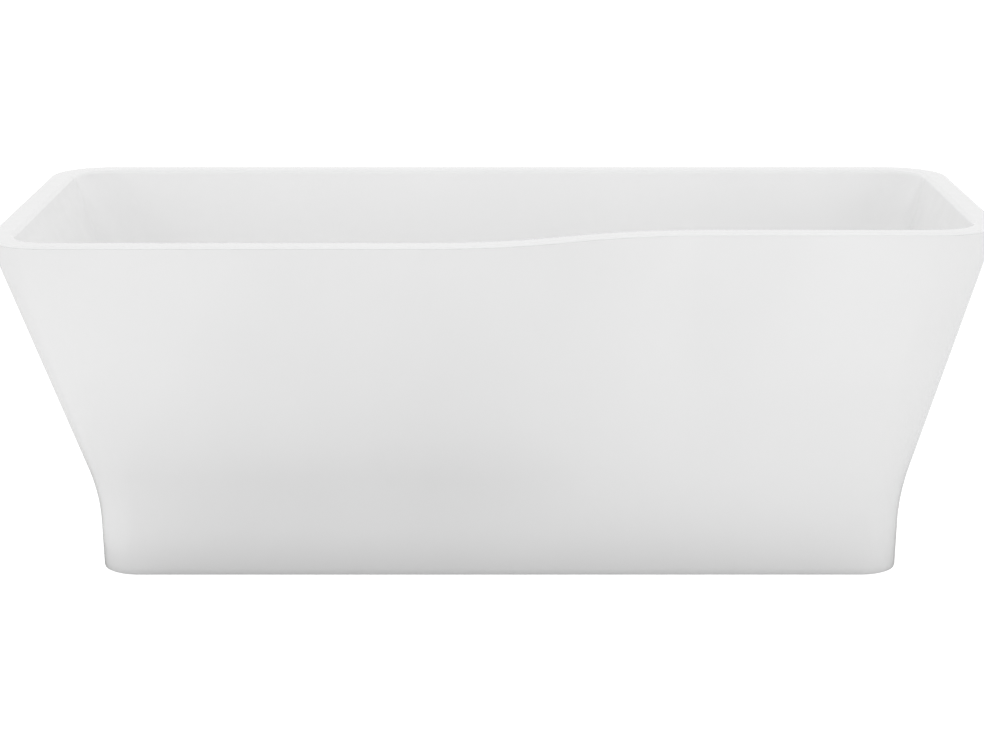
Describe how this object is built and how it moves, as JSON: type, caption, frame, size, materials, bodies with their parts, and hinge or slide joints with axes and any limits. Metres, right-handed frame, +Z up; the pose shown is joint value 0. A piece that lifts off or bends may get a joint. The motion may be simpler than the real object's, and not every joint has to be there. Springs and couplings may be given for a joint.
{
  "type": "freestanding bathtub",
  "caption": "Freestanding double-skin bathtub with a flared rectangular skirt, an S-shaped step in its front, click waste, overflow and levelling feet.",
  "frame": {"origin": "on the floor, under the middle of the rim's bounding box", "axes": "+X along the bath from the sloping head end to the foot end, +Y from the stepped front to the straight back, +Z up"},
  "size_m": [1.7, 0.8, 0.6],
  "materials": {
    "white_acrylic": "glossy moulded acrylic sheet, white",
    "plywood": "raw plywood and softwood",
    "galvanised_steel": "dull zinc-coated steel",
    "screw_steel": "bright zinc-plated screws",
    "chrome": "polished chrome plate",
    "brass": "turned brass",
    "spring_steel": "drawn stainless wire",
    "black_rubber": "matt moulded rubber",
    "white_plastic": "moulded white plumbing plastic",
    "grey_plastic": "ribbed grey hose",
    "black_plastic": "moulded black nylon"
  },
  "bodies": {
    "bath": {"inner_basin": "white_acrylic", "outer_skirt": "white_acrylic", "base_board": "plywood", "front_rail": "galvanised_steel", "rear_rail": "galvanised_steel", "head_cross_bar": "galvanised_steel", "middle_cross_bar": "galvanised_steel", "foot_cross_bar": "galvanised_steel", "rail_screws": "screw_steel", "board_screws": "screw_steel", "weld_nuts": "galvanised_steel", "lock_nuts": "screw_steel", "skirt_blocks": "plywood", "skirt_brackets": "galvanised_steel", "bracket_screws": "screw_steel", "waste_flange": "chrome", "waste_upper_gasket": "black_rubber", "waste_lower_gasket": "black_rubber", "waste_body": "white_plastic", "click_cartridge": "brass", "cartridge_spring": "spring_steel", "tailpiece": "white_plastic", "tailpiece_nut": "white_plastic", "tailpiece_ring": "black_rubber", "overflow_cover": "chrome", "overflow_screw": "chrome", "overflow_body": "white_plastic", "overflow_seal": "black_rubber", "overflow_hose": "grey_plastic", "upper_hose_nut": "white_plastic", "lower_hose_nut": "white_plastic"},
    "plug": {"waste_plug": "chrome", "plug_seal": "black_rubber", "plug_stem": "brass"},
    "head_front_foot": {"head_front_stud": "screw_steel", "head_front_pad": "black_plastic"},
    "head_rear_foot": {"head_rear_stud": "screw_steel", "head_rear_pad": "black_plastic"},
    "middle_front_foot": {"middle_front_stud": "screw_steel", "middle_front_pad": "black_plastic"},
    "middle_rear_foot": {"middle_rear_stud": "screw_steel", "middle_rear_pad": "black_plastic"},
    "foot_front_foot": {"foot_front_stud": "screw_steel", "foot_front_pad": "black_plastic"},
    "foot_rear_foot": {"foot_rear_stud": "screw_steel", "foot_rear_pad": "black_plastic"}
  },
  "joints": [
    {"name": "plug_lift", "type": "slide", "parent": "bath", "child": "plug", "axis": [0, 0, 1], "range_m": [0, 0.009], "deforming": ["cartridge_spring"]},
    {"name": "head_front_foot_screw", "type": "slide", "parent": "bath", "child": "head_front_foot", "axis": [0, 0, -1], "range_m": [-0.01, 0.02]},
    {"name": "head_rear_foot_screw", "type": "slide", "parent": "bath", "child": "head_rear_foot", "axis": [0, 0, -1], "range_m": [-0.01, 0.02]},
    {"name": "middle_front_foot_screw", "type": "slide", "parent": "bath", "child": "middle_front_foot", "axis": [0, 0, -1], "range_m": [-0.01, 0.02]},
    {"name": "middle_rear_foot_screw", "type": "slide", "parent": "bath", "child": "middle_rear_foot", "axis": [0, 0, -1], "range_m": [-0.01, 0.02]},
    {"name": "foot_front_foot_screw", "type": "slide", "parent": "bath", "child": "foot_front_foot", "axis": [0, 0, -1], "range_m": [-0.01, 0.02]},
    {"name": "foot_rear_foot_screw", "type": "slide", "parent": "bath", "child": "foot_rear_foot", "axis": [0, 0, -1], "range_m": [-0.01, 0.02]}
  ]
}
